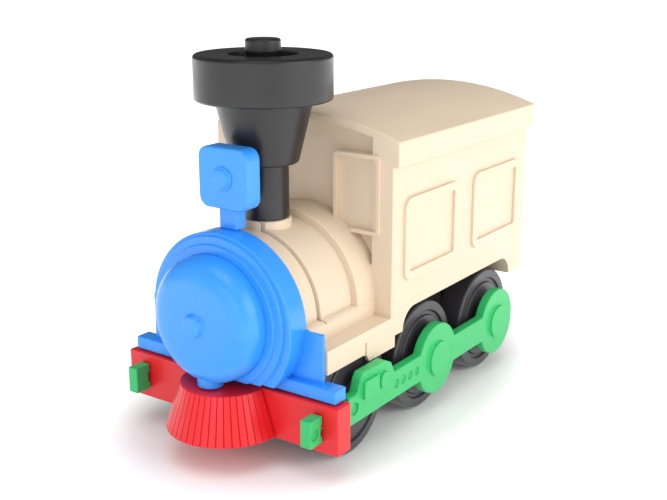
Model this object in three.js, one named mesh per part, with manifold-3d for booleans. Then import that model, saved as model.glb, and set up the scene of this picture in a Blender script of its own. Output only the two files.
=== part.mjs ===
// Toy train locomotive. Millimetres, +Z up, the engine faces -Y, its left side is +X.
// Lengths along Y are measured from the buffer beam; the whole engine is moved back to the origin at the end.
import * as THREE from 'three';
import Module from 'manifold-3d';

const wasm = await Module();
wasm.setup();

// ---- driving dimensions ----
const LENGTH_CENTRE = 50.3;         // middle of the overall length, measured from the beam
const GAP = 0.3;                    // space left where one piece rests on another
const FIT = 0.15;                   // space round a tongue or tenon in its socket
const WALL = 2.0;                   // thickness of the moulded shells

const WHEEL_RADIUS = 16.2;
const WHEEL_FACE_X = 27.9;          // outer face of each wheel
const WHEEL_WIDTH = 8.0;
const RECESS_OUTER = 13.3;          // ring shaped groove in the wheel face
const RECESS_INNER = 11.8;
const RECESS_DEPTH = 0.8;
const WHEEL_ROOM = 0.65;            // free space round a turning wheel
const AXLE_Y = { front: 18.1, middle: 55.1, rear: 93.1 };
const AXLE_RADIUS = 2.0;
const AXLE_HALF = 31.9;
const AXLE_PLAY = 0.2;              // space round an axle in its bearings
const WHEEL_FIT = 0.04;             // space round an axle in its own wheels

const BOILER_Z = 38.5;              // height of the boiler centre line
const BOILER_FRONT = 4.6;
const BOILER_RINGS = [
  { radius: 21.2, y0: 4.6, y1: 13.8 },
  { radius: 22.1, y0: 13.4, y1: 26.8 },
  { radius: 24.2, y0: 26.3, y1: 37.4 },
];
const SADDLE_HALF = 24.4;           // upright sides below the boiler
const FOOTPLATE_TOP = 33.75;
const BODY_HALF = 29.5;             // half width of cab and footplate
const CAB_FRONT = 34.7;
const CAB_REAR = 116.2;
const CAB_BOTTOM = 28.0;
const FRONT_WINDOW = { x0: 10.5, x1: 25.7, z0: 56.4, z1: 78.4, corner: 1.5, bar: 1.1, proud: 0.9 };
const SIDE_WINDOW_SPANS = [[40.4, 70.2], [79.7, 110.4]];
const SIDE_WINDOW = { z0: 42.6, z1: 66.2, corner: 3.2, bar: 2.5, proud: 0.7 };
const REAR_WINDOW = { x0: 5.0, x1: 22.0, z0: 45.0, z1: 65.8, corner: 3.0, bar: 2.4, proud: 0.7 };
const FOOTPLATE_GROOVE = { y0: 21.9, y1: 22.6, z0: 26.4, z1: 30.6, depth: 0.5 };
const FRONT_WALL = 4.5;             // cab front wall, recess included
const GABLE_HALF = 22.9;
const GABLE_DEPTH = 2.5;
const SLOT = { y0: 40.8, y1: 107.4, top: 34.3, corner: 6.2 };

const ROOF_HALF = 31.3;
const ROOF_CROWN = 88.1;
const ROOF_EDGE_TOP = 82.6;
const ROOF_EDGE_BOTTOM = 75.7;
const ROOF_REAR = 117.6;
const ROOF_THICK = 2.0;
const ROOF_RADIUS = (ROOF_HALF ** 2 + (ROOF_CROWN - ROOF_EDGE_TOP) ** 2) / (2 * (ROOF_CROWN - ROOF_EDGE_TOP));
const ROOF_CENTRE_Z = ROOF_CROWN - ROOF_RADIUS;

const CHIMNEY_Y = 17.7;
const CHIMNEY_BASE_TOP = 62.0;

const BEAM = { half: 36, y0: -0.3, y1: 5.5, z0: 8.4, z1: 21.4 };
const POCKET_HALF = [14, 28.5];     // reach of the wheel pockets across the engine
const DECK = { half: 34.3, y0: 1.0, y1: 5.8, z1: 25.3 };
const PLATE = { half: 29.0, y0: 3.2, y1: 4.3 };
const DISC_RADIUS = 23.2;
const DISC_FACE = -2.5;
const DISC_BOTTOM = 23.5;           // the disc ends in a flat a little above the beam
const TERRACES = [{ radius: 19.2, face: -4.3 }, { radius: 21.3, face: -3.5 }];   // steps round the door
const DOOR_Z = 39.6;
const DOOR_RADIUS = 16.9;
const DOOR_BACK = -2.8;
const DOOR_SHOULDER = -6.3;         // where the straight side of the door turns into the dome
const DOOR_BULGE = 6.0;
const DOOR_FLATNESS = 0.35;         // power of the cosine in the dome's profile; smaller is flatter
const BOSS_FACE = -13.6;            // front of the small boss in the middle of the door
const PEG_Y = -6.6;                 // post between the cowcatcher and the door

const LAMP = { half: 8.0, y0: 0.3, y1: 5.8, z0: 67.3, z1: 83.2, corner: 3.0 };
const STEM = { half: 2.7, y0: 1.9, y1: 4.2 };
const TONGUE_INSET = { x: 0.5, y: 0.4 };        // how much slimmer the tongue is than the stem above it

const COW = { top: 21.3, bottom: 8.7, rTop: 12.1, rBottom: 16.4, back: -0.6, grooves: 24, depth: 0.35 };

const BUFFER = { x: 29.85, half: 1.65, y0: -5.7, y1: -0.6, z0: 11.4, z1: 18.8 };

const FRAME = { x0: 30.2, x1: 33.0, ring: 10.5, barHalf: 4.0, tip: 3.2 };
const CYLINDER_BLOCK_TOP = 25.2;    // top of the steam cylinder moulded on each side frame

const CHASSIS_HALF = 17;
const CHASSIS_PLATE = { y0: 12, y1: 113.5, z0: 25.1, z1: 28.1 };
const SCREW_SPOTS = [
  { name: 'front_left', x: 11, y: 13.6 },
  { name: 'front_right', x: -11, y: 13.6 },
  { name: 'rear_left', x: 11, y: 109.5 },
  { name: 'rear_right', x: -11, y: 109.5 },
];
const BEAM_SCREW_X = 8;
const BEAM_SCREW_Z = 15;

const MATERIALS = {
  cream: { color: 0xffead0, roughness: 0.5 },
  blue: { color: 0x3f8cf5, roughness: 0.45 },
  red: { color: 0xf03c41, roughness: 0.45 },
  green: { color: 0x4fc878, roughness: 0.45 },
  grey: { color: 0x5c5a5e, roughness: 0.5 },
  dark: { color: 0x38383a, roughness: 0.5 },
  steel: { color: 0xb9bcc0, roughness: 0.3, metalness: 1.0 },
};

// ---- solids ----
function signedVolume(pos, tri) {
  let six = 0;
  for (let i = 0; i < tri.length; i += 3) {
    const [a, b, c] = [tri[i] * 3, tri[i + 1] * 3, tri[i + 2] * 3];
    six += pos[a] * (pos[b + 1] * pos[c + 2] - pos[b + 2] * pos[c + 1])
      - pos[a + 1] * (pos[b] * pos[c + 2] - pos[b + 2] * pos[c])
      + pos[a + 2] * (pos[b] * pos[c + 1] - pos[b + 1] * pos[c]);
  }
  return six / 6;
}

// welds equal corners, drops collapsed triangles and turns the faces outward
function solid(geometry) {
  const source = geometry.getAttribute('position');
  const order = geometry.index
    ? Array.from(geometry.index.array)
    : Array.from({ length: source.count }, (_, i) => i);
  const seen = new Map();
  const pos = [];
  const welded = order.map((i) => {
    const p = [source.getX(i), source.getY(i), source.getZ(i)];
    const key = p.map((v) => Math.round(v * 1e4)).join(',');
    if (!seen.has(key)) {
      seen.set(key, pos.length / 3);
      pos.push(...p);
    }
    return seen.get(key);
  });
  const tri = [];
  for (let i = 0; i < welded.length; i += 3) {
    const [a, b, c] = [welded[i], welded[i + 1], welded[i + 2]];
    if (a !== b && b !== c && a !== c) tri.push(a, b, c);
  }
  if (signedVolume(pos, tri) < 0) {
    for (let i = 0; i < tri.length; i += 3) [tri[i + 1], tri[i + 2]] = [tri[i + 2], tri[i + 1]];
  }
  const vertProperties = Float32Array.from(pos);
  const triVerts = Uint32Array.from(tri);
  return new wasm.Manifold(new wasm.Mesh({ numProp: 3, vertProperties, triVerts }));
}

function toGeometry(manifold) {
  const mesh = manifold.getMesh();
  const geometry = new THREE.BufferGeometry();
  geometry.setAttribute('position', new THREE.BufferAttribute(Float32Array.from(mesh.vertProperties), 3));
  geometry.setIndex(new THREE.BufferAttribute(Uint32Array.from(mesh.triVerts), 1));
  geometry.translate(0, -LENGTH_CENTRE, 0);
  const flat = geometry.toNonIndexed();
  flat.computeVertexNormals();
  return flat;
}

function join(...solids) {
  return solids.reduce((a, b) => a.add(b));
}

function cut(base, ...tools) {
  return tools.reduce((a, b) => a.subtract(b), base);
}

function box(x0, x1, y0, y1, z0, z1) {
  const geometry = new THREE.BoxGeometry(x1 - x0, y1 - y0, z1 - z0);
  geometry.translate((x0 + x1) / 2, (y0 + y1) / 2, (z0 + z1) / 2);
  return solid(geometry);
}

// turned shape; the profile is a list of [radius, distance along the axis]
function turned(profile, axis, centre, segments) {
  const points = profile.map(([r, h]) => new THREE.Vector2(r, h));
  const geometry = new THREE.LatheGeometry(points, segments);
  if (axis === 'x') geometry.rotateZ(-Math.PI / 2);
  if (axis === 'z') geometry.rotateX(Math.PI / 2);
  geometry.translate(...centre);
  return solid(geometry);
}

function rod(radius, h0, h1, axis, centre, segments = 24) {
  return turned([[0, h0], [radius, h0], [radius, h1], [0, h1]], axis, centre, segments);
}

// outline in Y and Z, pushed along X
function sideways(shape, x0, x1, curveSegments = 10) {
  const geometry = new THREE.ExtrudeGeometry(shape, { depth: x1 - x0, bevelEnabled: false, curveSegments });
  geometry.applyMatrix4(new THREE.Matrix4().set(0, 0, 1, x0, 1, 0, 0, 0, 0, 1, 0, 0, 0, 0, 0, 1));
  return solid(geometry);
}

// outline in X and Z, pushed along Y
function lengthways(shape, y0, y1, curveSegments = 10) {
  const geometry = new THREE.ExtrudeGeometry(shape, { depth: y1 - y0, bevelEnabled: false, curveSegments });
  geometry.rotateX(Math.PI / 2);
  geometry.translate(0, y1, 0);
  return solid(geometry);
}

function outline(points) {
  return new THREE.Shape(points.map(([a, b]) => new THREE.Vector2(a, b)));
}

function roundedRectangle(a0, a1, b0, b1, r) {
  const s = new THREE.Shape();
  s.moveTo(a0 + r, b0);
  s.lineTo(a1 - r, b0);
  s.absarc(a1 - r, b0 + r, r, -Math.PI / 2, 0);
  s.lineTo(a1, b1 - r);
  s.absarc(a1 - r, b1 - r, r, 0, Math.PI / 2);
  s.lineTo(a0 + r, b1);
  s.absarc(a0 + r, b1 - r, r, Math.PI / 2, Math.PI);
  s.lineTo(a0, b0 + r);
  s.absarc(a0 + r, b0 + r, r, Math.PI, 1.5 * Math.PI);
  return s;
}

function windowFrame(a0, a1, b0, b1, r, bar) {
  const s = roundedRectangle(a0, a1, b0, b1, r);
  const hole = roundedRectangle(a0 + bar, a1 - bar, b0 + bar, b1 - bar, Math.max(r - bar, 0.6));
  s.holes.push(new THREE.Path(hole.getPoints(3)));
  return s;
}

function mirrored(build) {
  return join(build(1), build(-1));
}

// free space that a turning wheel needs on both sides of the engine
function wheelRoom(y) {
  const [inner, outer] = POCKET_HALF;
  const radius = WHEEL_RADIUS + WHEEL_ROOM;
  return mirrored((s) => rod(radius, Math.min(s * inner, s * outer), Math.max(s * inner, s * outer), 'x',
    [0, y, WHEEL_RADIUS], 40));
}

// ---- cream body ----
function roofArcZ(x, drop) {
  return ROOF_CENTRE_Z + Math.sqrt((ROOF_RADIUS - drop) ** 2 - x ** 2);
}

function archedOutline(half, bottom, drop) {
  const points = [[-half, bottom], [half, bottom]];
  const steps = 16;
  for (let i = 0; i <= steps; i += 1) {
    const x = half - (2 * half * i) / steps;
    points.push([x, roofArcZ(x, drop)]);
  }
  return outline(points);
}

// from a to b on the left side of the engine, and the same reach on the right side
function reach(side, a, b) {
  return side > 0 ? [a, b] : [-b, -a];
}

function frontWindow(side) {
  const { z0, z1, corner, bar, proud } = FRONT_WINDOW;
  const [x0, x1] = reach(side, FRONT_WINDOW.x0, FRONT_WINDOW.x1);
  const back = CAB_FRONT + GABLE_DEPTH + 0.5;
  const frame = lengthways(windowFrame(x0, x1, z0, z1, corner, bar), CAB_FRONT - proud, back, 3);
  const lap = bar / 2;
  const pane = box(x0 + lap, x1 - lap, CAB_FRONT + 0.9, back, z0 + lap, z1 - lap);
  return frame.add(pane);
}

function rearWindow(side) {
  const { z0, z1, corner, bar, proud } = REAR_WINDOW;
  const [x0, x1] = reach(side, REAR_WINDOW.x0, REAR_WINDOW.x1);
  return lengthways(windowFrame(x0, x1, z0, z1, corner, bar), CAB_REAR - 0.5, CAB_REAR + proud, 4);
}

function sideWindows(side) {
  const { z0, z1, corner, bar, proud } = SIDE_WINDOW;
  const [x0, x1] = reach(side, BODY_HALF - 0.5, BODY_HALF + proud);
  return join(...SIDE_WINDOW_SPANS.map(([y0, y1]) => (
    sideways(windowFrame(y0, y1, z0, z1, corner, bar), x0, x1, 4))));
}

function slotShape() {
  const { y0, y1, top, corner } = SLOT;
  const s = new THREE.Shape();
  s.moveTo(y0, CAB_BOTTOM - 8);
  s.lineTo(y1, CAB_BOTTOM - 8);
  s.lineTo(y1, top - corner);
  s.absarc(y1 - corner, top - corner, corner, 0, Math.PI / 2);
  s.lineTo(y0 + corner, top);
  s.absarc(y0 + corner, top - corner, corner, Math.PI / 2, Math.PI);
  return s;
}

// short upright groove in the side of the footplate
function footplateGroove(side) {
  const { y0, y1, z0, z1, depth } = FOOTPLATE_GROOVE;
  const [x0, x1] = reach(side, BODY_HALF - depth, BODY_HALF + 1);
  return box(x0, x1, y0, y1, z0, z1);
}

function bodyShell() {
  const cab = lengthways(archedOutline(BODY_HALF, CAB_BOTTOM, ROOF_THICK + GAP), CAB_FRONT, CAB_REAR);
  const gable = box(-GABLE_HALF, GABLE_HALF, CAB_FRONT - 1, CAB_FRONT + GABLE_DEPTH, 48, 100);
  const underside = box(-40, 40, 0, CAB_FRONT + 5, 0, 30);
  const rings = BOILER_RINGS.map(({ radius, y0, y1 }) => (
    rod(radius, y0, y1, 'y', [0, 0, BOILER_Z], 48).subtract(underside)));
  const saddle = lengthways(outline([[-SADDLE_HALF, 28], [SADDLE_HALF, 28], [SADDLE_HALF, BOILER_Z - 0.9],
    [SADDLE_HALF - 0.9, BOILER_Z], [-SADDLE_HALF + 0.9, BOILER_Z], [-SADDLE_HALF, BOILER_Z - 0.9]]),
  BOILER_FRONT, CAB_FRONT + 0.5);
  const footplate = sideways(outline([[BOILER_FRONT, 27.4], [20.9, 27.4], [22.7, 26.7], [23.8, 24.9],
    [36.7, 24.9], [36.7, FOOTPLATE_TOP], [BOILER_FRONT, FOOTPLATE_TOP]]), -BODY_HALF, BODY_HALF);
  const chimneyBase = rod(6.95, 54, CHIMNEY_BASE_TOP, 'z', [0, CHIMNEY_Y, 0], 32);
  const outside = join(cab.subtract(gable), ...rings, saddle, footplate, chimneyBase,
    mirrored(frontWindow), mirrored(rearWindow), mirrored(sideWindows));

  const inner = BODY_HALF - WALL;
  const saddleInner = SADDLE_HALF - WALL;
  const front = BOILER_FRONT + WALL;
  const throat = CAB_FRONT + FRONT_WALL + 1;
  const hollow = join(
    box(-inner, inner, CAB_FRONT + FRONT_WALL, CAB_REAR - WALL, 20, 100),
    rod(BOILER_RINGS[0].radius - WALL, front, throat, 'y', [0, 0, BOILER_Z], 40),
    box(-saddleInner, saddleInner, front, throat, 20, BOILER_Z - WALL),
    box(-inner, inner, front, CAB_FRONT, 20, FOOTPLATE_TOP - 1.85),
  );
  const frontHole = rod(6.8, BOILER_FRONT - 1, BOILER_FRONT + WALL + 1, 'y', [0, 0, BOILER_Z], 28);
  const chimneyHole = rod(4.3, 50, CHIMNEY_BASE_TOP + 1, 'z', [0, CHIMNEY_Y, 0], 20);
  const slot = sideways(slotShape(), -BODY_HALF - 2, BODY_HALF + 2, 8);
  const wallHalf = inner + 0.5;
  const wallFront = SLOT.y1 - SLOT.corner;
  const rearWall = box(-wallHalf, wallHalf, wallFront, SLOT.y1 + WALL, CAB_BOTTOM, SLOT.top + WALL);
  const roomHalf = CHASSIS_HALF + GAP;
  const z0 = CHASSIS_PLATE.z1 + GAP;
  const chassisRoom = box(-roomHalf, roomHalf, wallFront - 1, CHASSIS_PLATE.y1 + GAP, 20, z0);
  const shell = cut(cut(outside, hollow).add(rearWall), frontHole, chimneyHole, slot, chassisRoom,
    wheelRoom(AXLE_Y.front), mirrored(footplateGroove));

  const shelves = join(
    box(-CHASSIS_HALF, CHASSIS_HALF, BOILER_FRONT + 1, 17.5, z0, z0 + 3),
    box(-CHASSIS_HALF, CHASSIS_HALF, 106, CAB_REAR - 1, z0, z0 + 3),
    ...SCREW_SPOTS.map((p) => rod(3.2, z0, 36.4, 'z', [p.x, p.y, 0], 12)),
  );
  const screwHoles = SCREW_SPOTS.map((p) => rod(1.3, 20, 35.2, 'z', [p.x, p.y, 0], 10));
  return cut(shell.add(shelves), ...screwHoles);
}

function cabRoof() {
  const top = lengthways(archedOutline(ROOF_HALF, ROOF_EDGE_BOTTOM, 0), CAB_FRONT, ROOF_REAR);
  const underShape = archedOutline(BODY_HALF + 0.4, ROOF_EDGE_BOTTOM - 5, ROOF_THICK);
  const under = lengthways(underShape, CAB_FRONT - 1, ROOF_REAR + 1);
  const lipInner = BODY_HALF - WALL - 1.5;
  const lips = mirrored((s) => {
    const [x0, x1] = reach(s, lipInner, lipInner + 1.2);
    return box(x0, x1, CAB_FRONT + 8, CAB_REAR - 5, 76, roofArcZ(lipInner, ROOF_THICK) + 0.6);
  });
  return top.subtract(under).add(lips);
}

// ---- blue front ----
function pegRoom() {
  return rod(3.65, 20, 26.8, 'z', [0, PEG_Y, 0], 24);
}

function smokeboxPlate() {
  const disc = turned([[0, DISC_FACE], [DISC_RADIUS - 0.5, DISC_FACE], [DISC_RADIUS, DISC_FACE + 0.5],
    [DISC_RADIUS, PLATE.y1], [0, PLATE.y1]], 'y', [0, 0, BOILER_Z], 56);
  const step = DISC_FACE + 1;
  const terraces = TERRACES.map(({ radius, face }) => turned([[0, face], [radius - 0.2, face],
    [radius, face + 0.2], [radius, step], [0, step]], 'y', [0, 0, DOOR_Z], 48));
  const doorSeat = rod(DOOR_RADIUS + 0.25, TERRACES[0].face - 1, DOOR_BACK + GAP, 'y', [0, 0, DOOR_Z], 44);
  const ground = box(-40, 40, -20, 20, 0, DISC_BOTTOM);
  const deck = box(-DECK.half, DECK.half, DECK.y0, DECK.y1, BEAM.z1 + GAP, DECK.z1);
  const plate = box(-PLATE.half, PLATE.half, PLATE.y0, PLATE.y1, DECK.z1 - 1, BOILER_Z);
  const spigot = rod(6.5, PLATE.y1 - 1, PLATE.y1 + 3.8, 'y', [0, 0, BOILER_Z], 24);
  const doorHole = rod(3.1, DISC_FACE - 3, 4.0, 'y', [0, 0, DOOR_Z], 24);
  const socketHalf = STEM.half - TONGUE_INSET.x + FIT;
  const socketInset = TONGUE_INSET.y - FIT;
  const socket = box(-socketHalf, socketHalf, STEM.y0 + socketInset, STEM.y1 - socketInset, 57, 64);
  return cut(join(join(disc, ...terraces).subtract(ground), deck, plate, spigot), doorSeat, doorHole,
    pegRoom(), socket, wheelRoom(AXLE_Y.front));
}

function smokeboxDoor() {
  const profile = [[0, DOOR_BACK], [DOOR_RADIUS, DOOR_BACK]];
  const steps = 11;
  for (let i = 0; i < steps; i += 1) {
    const a = (i / steps) * (Math.PI / 2);
    profile.push([DOOR_RADIUS * Math.cos(a) ** DOOR_FLATNESS, DOOR_SHOULDER - DOOR_BULGE * Math.sin(a)]);
  }
  profile.push([0, DOOR_SHOULDER - DOOR_BULGE]);
  const dome = turned(profile, 'y', [0, 0, DOOR_Z], 44);
  const boss = turned([[0, BOSS_FACE], [2.6, BOSS_FACE], [3.2, BOSS_FACE + 0.6], [3.2, -10], [0, -10]], 'y',
    [0, 0, DOOR_Z], 24);
  const peg = rod(2.9, DOOR_BACK - 0.5, 3.4, 'y', [0, 0, DOOR_Z], 18);
  return cut(join(dome, boss, peg), pegRoom());
}

function supportPeg() {
  const foot = COW.top + GAP;
  return turned([[0, foot], [3.2, foot], [3.5, foot + 0.4], [3.5, 26.1], [3.1, 26.5], [0, 26.5]],
    'z', [0, PEG_Y, 0], 24);
}

function headlamp() {
  const { half, y0, y1, z0, z1, corner } = LAMP;
  const centreZ = (z0 + z1) / 2;
  const caseBody = lengthways(roundedRectangle(-half, half, z0, z1, corner), y0, y1, 6);
  const lens = turned([[0, y0 - 0.9], [2.3, y0 - 0.9], [2.5, y0 - 0.5], [3.0, y0 - 0.5], [3.3, y0 + 0.5],
    [0, y0 + 0.5]], 'y', [0, 0, centreZ], 24);
  const stem = box(-STEM.half, STEM.half, STEM.y0, STEM.y1 + 1.8, BOILER_Z + DISC_RADIUS + GAP, z0 + 1);
  const tongueHalf = STEM.half - TONGUE_INSET.x;
  const tongue = box(-tongueHalf, tongueHalf, STEM.y0 + TONGUE_INSET.y, STEM.y1 - TONGUE_INSET.y, 57.4, z0);
  return join(caseBody, lens, stem, tongue);
}

// ---- red front ----
function bufferBeam() {
  const { half, y0, y1, z0, z1 } = BEAM;
  const bar = box(-half, half, y0, y1, z0, z1);
  const screwHoles = mirrored((s) => join(
    rod(1.7, y0 - 1, y1 + 1, 'y', [s * BEAM_SCREW_X, 0, BEAM_SCREW_Z], 12),
    rod(3.3, y0 - 1, y0 + 2.4, 'y', [s * BEAM_SCREW_X, 0, BEAM_SCREW_Z], 16),
  ));
  const cowHoles = mirrored((s) => rod(1.65, y0 - 1, y0 + 3.6, 'y', [s * 2.6, 0, 15], 12));
  const bufferHoles = mirrored((s) => rod(1.05, y0 - 1, y0 + 2.2, 'y', [s * (BUFFER.x + 0.25), 0, 15.1], 10));
  const tenons = mirrored((s) => {
    const [x0, x1] = reach(s, FRAME.x0 - FIT, FRAME.x1 + FIT);
    return box(x0, x1, 2.7, y1 + 1, WHEEL_RADIUS - FRAME.tip - FIT, WHEEL_RADIUS + FRAME.tip + FIT);
  });
  return cut(bar, screwHoles, cowHoles, bufferHoles, tenons, wheelRoom(AXLE_Y.front));
}

function cowcatcher() {
  const { top, bottom, rTop, rBottom, back, grooves, depth } = COW;
  const points = [];
  for (let i = 0; i < grooves; i += 1) {
    const a = Math.PI + (Math.PI * i) / grooves;
    const step = Math.PI / grooves;
    points.push([rBottom, a + 0.1 * step]);
    points.push([rBottom, a + 0.9 * step]);
    if (i < grooves - 1) points.push([rBottom - depth, a + step]);
  }
  const shape = outline(points.map(([r, a]) => [r * Math.cos(a), r * Math.sin(a)]));
  const height = top - bottom;
  const geometry = new THREE.ExtrudeGeometry(shape, { depth: height, bevelEnabled: false });
  const pos = geometry.getAttribute('position');
  for (let i = 0; i < pos.count; i += 1) {
    const scale = 1 + (rTop / rBottom - 1) * (pos.getZ(i) / height);
    pos.setXYZ(i, pos.getX(i) * scale, pos.getY(i) * scale, pos.getZ(i));
  }
  geometry.translate(0, back, bottom);
  const nose = cut(solid(geometry), box(-40, 40, back, 40, 0, 60));
  const pegs = mirrored((s) => rod(1.5, back - 1, back + 3.4, 'y', [s * 2.6, 0, 15], 12));
  return nose.add(pegs);
}

// ---- green fittings ----
function buffer(side) {
  const { x, half, y0, y1, z0, z1 } = BUFFER;
  const middle = (z0 + z1) / 2;
  const block = box(side * x - half, side * x + half, y0, y1, z0, z1);
  const notch = box(side * x - half - 1, side * x + half + 1, y1 - 0.8, y1 + 1, middle - 1.8, middle + 1.5);
  const dimple = rod(1.6, side * (x + half) - 0.5, side * (x + half) + 0.5, 'x', [0, -4.0, middle - 0.3], 14);
  const peg = rod(0.95, y1 - 1.5, y1 + 2.2, 'y', [side * (x + 0.25), 0, 15.1], 10);
  return cut(block, notch, dimple).add(peg);
}

function sideFrame(side) {
  const [x0, x1] = reach(side, FRAME.x0, FRAME.x1);
  const z = WHEEL_RADIUS;
  const out = (h) => reach(side, FRAME.x1 - 0.4, FRAME.x1 + h);
  const bar = (y0, y1, h) => box(x0, x1, y0, y1, z - h, z + h);
  const rings = [AXLE_Y.middle, AXLE_Y.rear].map((y) => rod(FRAME.ring, x0, x1, 'x', [0, y, z], 40));
  const block = sideways(outline([[12.9, z], [12.9, 20.0], [14.4, 23.8], [15.6, CYLINDER_BLOCK_TOP],
    [26.2, CYLINDER_BLOCK_TOP], [29.4, 23.6], [31.6, z + 3]]), x0, x1);
  const bosses = [AXLE_Y.middle, AXLE_Y.rear].map((y) => rod(5.2, ...out(1.0), 'x', [0, y, z], 28));
  const squarePad = sideways(roundedRectangle(14.9, 22.0, 17.8, 23.0, 0.8), ...out(1.2), 2);
  const roundPad = rod(2.4, ...out(1.2), 'x', [0, 25.2, 20.1], 20);
  const bodySolid = join(bar(9, AXLE_Y.rear, FRAME.barHalf), bar(3.0, 12, FRAME.tip), ...rings, block,
    ...bosses, squarePad, roundPad);
  const face = side * FRAME.x1;
  const dimples = [32.4, 36.0, 39.6, 43.2].map((y) => rod(1.25, face - 0.6, face + 0.6, 'x', [0, y, z], 12));
  const frontDimple = rod(1.7, face - 0.8, face + 0.8, 'x', [0, 11.8, z + 0.2], 14);
  const boreReach = reach(side, 0, AXLE_HALF + GAP);
  const bores = Object.values(AXLE_Y).map((y) => (
    rod(AXLE_RADIUS + AXLE_PLAY, ...boreReach, 'x', [0, y, z], 20)));
  return cut(bodySolid, ...dimples, frontDimple, ...bores);
}

// ---- running gear ----
function wheel(side, y) {
  const outer = WHEEL_FACE_X;
  const inner = WHEEL_FACE_X - WHEEL_WIDTH;
  const bore = AXLE_RADIUS + WHEEL_FIT;
  const floor = outer - RECESS_DEPTH;
  const half = [[bore, inner - 1.2], [5.0, inner - 1.2], [5.0, inner], [WHEEL_RADIUS - 0.5, inner],
    [WHEEL_RADIUS, inner + 0.5], [WHEEL_RADIUS, outer - 0.5], [WHEEL_RADIUS - 0.5, outer],
    [RECESS_OUTER, outer], [RECESS_OUTER - 0.1, floor], [RECESS_INNER + 0.1, floor], [RECESS_INNER, outer],
    [4.8, outer], [4.8, outer + 1.4], [bore, outer + 1.4], [bore, inner - 1.2]];
  const profile = half.map(([r, x]) => [r, side * x]);
  return turned(profile, 'x', [0, y, WHEEL_RADIUS], 30);
}

function axle(y) {
  const h = AXLE_HALF;
  const r = AXLE_RADIUS;
  const end = 0.4;
  return turned([[0, -h], [r - end, -h], [r, end - h], [r, h - end], [r - end, h], [0, h]],
    'x', [0, y, WHEEL_RADIUS], 18);
}

function chassis() {
  const { y0, y1, z0, z1 } = CHASSIS_PLATE;
  const plate = box(-CHASSIS_HALF, CHASSIS_HALF, y0, y1, z0, z1);
  const nose = box(-12, 12, BEAM.y1 + GAP, y0 + 1, 10, 26.8);
  const blocks = Object.values(AXLE_Y).map((y) => sideways(outline([[y - 8, z0 + 1], [y - 6, 13],
    [y - 3.5, 10.5], [y + 3.5, 10.5], [y + 6, 13], [y + 8, z0 + 1]]), -CHASSIS_HALF, CHASSIS_HALF));
  const spine = box(-3, 3, y0, y1 - 6, 17, z0 + 1);
  const bores = Object.values(AXLE_Y).map((y) => (
    rod(AXLE_RADIUS + AXLE_PLAY, -20, 20, 'x', [0, y, WHEEL_RADIUS], 18)));
  const shelfHoles = SCREW_SPOTS.map((p) => join(rod(1.5, 20, 40, 'z', [p.x, p.y, 0], 10),
    rod(3.2, 8, z0 + 0.2, 'z', [p.x, p.y, 0], 14)));
  const noseHoles = mirrored((s) => rod(1.4, 0, 10.5, 'y', [s * BEAM_SCREW_X, 0, BEAM_SCREW_Z], 10));
  return cut(join(plate, nose, ...blocks, spine), ...bores, ...shelfHoles, noseHoles);
}

function chassisScrew(p) {
  const head = CHASSIS_PLATE.z0 + 0.2 - GAP;
  return turned([[0, head - 1.8], [1.8, head - 1.8], [2.7, head - 1.0], [2.7, head], [1.15, head],
    [1.15, 34.2], [0, 34.9]], 'z', [p.x, p.y, 0], 14);
}

function beamScrew(side) {
  const seat = BEAM.y0 + 2.4 - GAP;
  return turned([[0, seat - 1.9], [1.8, seat - 1.9], [2.7, seat - 1.1], [2.7, seat], [1.25, seat],
    [1.25, 9.4], [0, 10.1]], 'y', [side * BEAM_SCREW_X, 0, BEAM_SCREW_Z], 14);
}

// ---- chimney ----
function chimney() {
  const z0 = CHIMNEY_BASE_TOP + GAP;
  return turned([[0, 56], [4.0, 56], [4.0, z0], [6.3, z0], [6.3, 76.8], [8.6, 76.8], [9.3, 77.5],
    [13.0, 93.3], [17.7, 93.3], [18.2, 93.8], [18.2, 104.3], [17.3, 105.2], [9.5, 105.2], [9.2, 104.9],
    [9.2, 102.2], [2.7, 102.2], [2.7, 97.5], [0, 97.5]], 'z', [0, CHIMNEY_Y, 0], 44);
}

function chimneyPlug() {
  return turned([[0, 98.2], [2.5, 98.2], [2.5, 102.5], [3.6, 102.5], [4.65, 105.8], [4.65, 108.4],
    [4.05, 109.0], [0, 109.0]], 'z', [0, CHIMNEY_Y, 0], 28);
}

// ---- assembly ----
const locomotive = new THREE.Group();
locomotive.name = 'toy_train_locomotive';

function piece(name, look, manifold) {
  const mesh = new THREE.Mesh(toGeometry(manifold), new THREE.MeshStandardMaterial(MATERIALS[look]));
  mesh.name = name;
  locomotive.add(mesh);
}

piece('body_shell', 'cream', bodyShell());
piece('cab_roof', 'cream', cabRoof());
piece('smokebox_front', 'blue', smokeboxPlate());
piece('smokebox_door', 'blue', smokeboxDoor());
piece('support_peg', 'blue', supportPeg());
piece('headlamp', 'blue', headlamp());
piece('buffer_beam', 'red', bufferBeam());
piece('cowcatcher', 'red', cowcatcher());
piece('chimney', 'dark', chimney());
piece('chimney_plug', 'dark', chimneyPlug());
piece('chassis', 'dark', chassis());
for (const [side, label] of [[1, 'left'], [-1, 'right']]) {
  piece(`buffer_${label}`, 'green', buffer(side));
  piece(`side_frame_${label}`, 'green', sideFrame(side));
  piece(`beam_screw_${label}`, 'steel', beamScrew(side));
  for (const [name, y] of Object.entries(AXLE_Y)) piece(`wheel_${name}_${label}`, 'grey', wheel(side, y));
}
for (const [name, y] of Object.entries(AXLE_Y)) piece(`axle_${name}`, 'steel', axle(y));
for (const spot of SCREW_SPOTS) piece(`chassis_screw_${spot.name}`, 'steel', chassisScrew(spot));

export default locomotive;
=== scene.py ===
"""Toy train locomotive: the moulded plastic looks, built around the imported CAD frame.

Shapes are drawn in millimetres with Y measured from the buffer beam, and moved into the
row frame (metres) when each piece is finished."""
import math

import bmesh
import bpy
from mathutils import Matrix, Vector

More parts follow.
